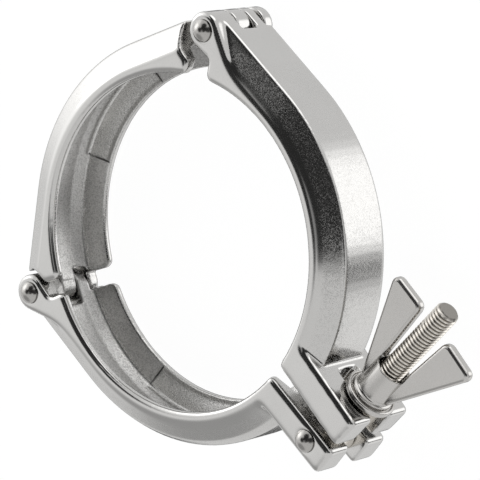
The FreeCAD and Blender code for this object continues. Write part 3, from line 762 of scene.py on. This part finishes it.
class CLAMP_OT_wing_nut(bpy.types.Operator):
    """Model the flanged wing nut with the soft rims of a forging"""

    bl_idname = "clamp.wing_nut"
    bl_label = "Wing nut"

    def execute(self, context):
        sizes, colours = context.scene.clamp_sizes, context.scene.clamp_colours
        # One-piece forged nut in stainless steel, tumbled bright: flat wings with soft rims
        forged = grained_metal(
            "forged_nut_stainless", colours.nut_face, 0.22, 0.03, 0.4 * MM, 0.006 * MM, 0.03)
        piece = self.turn("nut_body", (
            (0, 0, 0), (6.75, 0, 0.35), (6.75, 1.5, 0.5), (6.1, 1.5, 0.2), (5.83, 1.05, 0),
            (5.6, 1.05, 0), (5.55, 2.13, 0.33), (4.75, 2.37, 0.7), (4.7, 10.6, 0.25),
            (0, 10.6, 0)))
        combine(piece, self.cut_wings(sizes), "UNION")
        bore = self.turn("bore", (
            (0, -1, 0), (3.05, -1, 0), (3.05, 5.5, 0), (3.85, 6.5, 0), (4.0, 10.2, 0),
            (4.35, 10.65, 0), (4.35, 11, 0), (0, 11, 0)))
        combine(piece, bore, "DIFFERENCE")
        piece.name = piece.data.name = "wing_nut_forged"
        place_on(piece, PIN_PLACE, ALONG_BOLT)
        shade_flats(piece)
        piece.data.materials.append(forged)
        dress(piece, "nut", "wing_nut")
        return {"FINISHED"}

    def turn(self, name, corners):
        """Turned solid from (radius, height over the seat, corner radius) in millimetres."""
        return turn_outline(name, [
            (reach * MM, SEAT + rise * MM, radius * MM) for reach, rise, radius in corners])

    def cut_wings(self, sizes):
        """Flat plate across the bolt with both wings, their corners and rims rounded."""
        wing = [(5.0, 2.53, 1.2), (16.1, 27.7, 1.7), (5.0, 28.1, 2.0), (3.7, 10.9, 1.0)]
        corners = wing + [(0, 9.0, 0)] + [(-x, y, radius) for x, y, radius in reversed(wing)]
        outline = round_corners([(x * MM, SEAT + y * MM, radius * MM) for x, y, radius in corners])
        plate = new_piece(
            "wings", [(x, 0.0, height) for x, height in outline], faces=[range(len(outline))])
        apply_modifier(plate, "SOLIDIFY", thickness=sizes.wing_thickness, offset=0.0)
        bpy.ops.object.mode_set(mode="EDIT")
        bpy.ops.mesh.select_all(action="SELECT")
        bpy.ops.mesh.normals_make_consistent(inside=False)
        bpy.ops.object.mode_set(mode="OBJECT")
        apply_modifier(
            plate, "BEVEL", width=sizes.wing_rim, segments=5, limit_method="ANGLE",
            angle_limit=math.radians(50), use_clamp_overlap=False)
        return plate


def studio_direction(away, around):
    """Direction by its degrees from the view axis and round it, from the right towards the top."""
    away, around = math.radians(away), math.radians(around)
    side = CAMERA_RIGHT * math.cos(around) + CAMERA_UP * math.sin(around)
    return CAMERA_BACK * math.cos(away) + side * math.sin(away)


class CLAMP_OT_stage(bpy.types.Operator):
    """Set up the pale floor, the light and the camera"""

    bl_idname = "clamp.stage"
    bl_label = "Stage"

    def execute(self, context):
        scene = context.scene
        scene.view_settings.view_transform = "Standard"
        self.add_floor(scene.clamp_colours.floor)
        self.add_world(scene)
        self.add_softbox()
        self.add_camera(scene)
        return {"FINISHED"}

    def add_floor(self, colour):
        leave_nothing_selected()
        bpy.ops.mesh.primitive_plane_add(size=12.0, location=(0, 0, -HALF_WIDTH - 0.05 * MM))
        floor = bpy.context.active_object
        floor.name = floor.data.name = "floor"
        settle(floor)
        # Matt white board: seen as white, with a trace of the clamp's shadow
        material, tree = new_material("matt_white_board")
        path = add_node(tree, "ShaderNodeLightPath")
        passing = add_node(tree, "ShaderNodeMath", {
            0: path.outputs["Is Shadow Ray"], 1: path.outputs["Is Glossy Ray"]},
            operation="MAXIMUM")
        board = add_node(tree, "ShaderNodeBsdfDiffuse", {"Color": (*colour, 1.0)})
        white = add_node(tree, "ShaderNodeEmission", {
            "Color": (1, 1, 1, 1), "Strength": BOARD_WHITE})
        share = add_node(tree, "ShaderNodeMath", {
            0: path.outputs["Is Camera Ray"], 1: BOARD_SHARE}, operation="MULTIPLY")
        lit = add_node(tree, "ShaderNodeMixShader", {
            0: share.outputs[0], 1: board.outputs[0], 2: white.outputs[0]})
        # mirrored rays pass on to the white studio under the board
        clear = add_node(tree, "ShaderNodeBsdfTransparent")
        mixed = add_node(tree, "ShaderNodeMixShader", {
            0: passing.outputs[0], 1: lit.outputs[0], 2: clear.outputs[0]})
        close_material(tree, mixed)
        floor.data.materials.append(material)

    def add_world(self, scene):
        """White studio with the rooms, walls and cards that the metal mirrors."""
        world = bpy.data.worlds.new("white_studio")
        scene.world = world
        world.use_nodes = True
        tree = world.node_tree
        tree.nodes.clear()
        direction = add_node(tree, "ShaderNodeTexCoord").outputs["Generated"]
        level = STUDIO_LEVEL
        for away, around, core, rim, brightness in STUDIO.values():
            near = add_node(tree, "ShaderNodeVectorMath", {
                0: direction, 1: studio_direction(away, around)}, operation="DOT_PRODUCT")
            amount = add_node(tree, "ShaderNodeMapRange", {
                "Value": near.outputs["Value"], "From Min": math.cos(math.radians(rim)),
                "From Max": math.cos(math.radians(core))}, interpolation_type="SMOOTHSTEP")
            mixed = add_node(tree, "ShaderNodeMix", {
                "Factor": amount.outputs[0], "A": level, "B": brightness}, data_type="FLOAT")
            level = mixed.outputs["Result"]
        path = add_node(tree, "ShaderNodeLightPath")
        strength = add_node(tree, "ShaderNodeMix", {
            "Factor": path.outputs["Is Camera Ray"], "A": level, "B": 1.0}, data_type="FLOAT")
        sky = add_node(tree, "ShaderNodeBackground", {
            "Color": (1, 1, 1, 1), "Strength": strength.outputs["Result"]})
        add_node(tree, "ShaderNodeOutputWorld", {"Surface": sky.outputs[0]})

    def add_softbox(self):
        """Large lamp beside the clamp, which it faces."""
        place = Vector((-0.894, -0.244, 0.374)).normalized() * 0.9
        bpy.ops.object.light_add(type="AREA", location=place)
        lamp = bpy.context.active_object
        lamp.name = lamp.data.name = "key_softbox"
        lamp.data.shape = "SQUARE"
        lamp.data.size = 0.45
        lamp.data.energy = 0.6
        lamp.rotation_mode = "QUATERNION"
        lamp.rotation_quaternion = place.to_track_quat("Z", "Y")

    def add_camera(self, scene):
        bpy.ops.object.camera_add(location=CAMERA_PLACE)
        camera = bpy.context.active_object
        camera.name = camera.data.name = "photo_camera"
        turned = Matrix((CAMERA_RIGHT, CAMERA_UP, CAMERA_BACK)).transposed()
        camera.rotation_mode = "QUATERNION"
        camera.rotation_quaternion = turned.to_quaternion()
        camera.data.sensor_width = 36.0
        camera.data.lens = CAMERA_LENS
        camera.data.clip_start = 0.05
        camera.data.clip_end = 50.0
        scene.camera = camera


OPERATORS = (
    CLAMP_OT_castings,
    CLAMP_OT_rivets,
    CLAMP_OT_swing_bolt,
    CLAMP_OT_wing_nut,
    CLAMP_OT_stage,
)


class CLAMP_PT_panel(bpy.types.Panel):
    """List of the clamp's pieces, sizes and colours"""

    bl_idname = "CLAMP_PT_panel"
    bl_label = "Flange clamp"
    bl_space_type = "VIEW_3D"
    bl_region_type = "UI"
    bl_category = "Flange clamp"

    def draw(self, context):
        column = self.layout.column()
        for operator in OPERATORS:
            column.operator(operator.bl_idname)
        for group in (context.scene.clamp_sizes, context.scene.clamp_colours):
            for name in group.__annotations__:
                column.prop(group, name)


CLASSES = (ClampSizes, ClampColours, *OPERATORS, CLAMP_PT_panel)


def register():
    for item in CLASSES:
        bpy.utils.register_class(item)
    bpy.types.Scene.clamp_sizes = PointerProperty(type=ClampSizes)
    bpy.types.Scene.clamp_colours = PointerProperty(type=ClampColours)


def unregister():
    del bpy.types.Scene.clamp_colours
    del bpy.types.Scene.clamp_sizes
    for item in reversed(CLASSES):
        bpy.utils.unregister_class(item)


def main():
    register()
    for make in (bpy.ops.clamp.castings, bpy.ops.clamp.rivets, bpy.ops.clamp.swing_bolt,
                 bpy.ops.clamp.wing_nut, bpy.ops.clamp.stage):
        make()


if __name__ == "__main__":
    main()
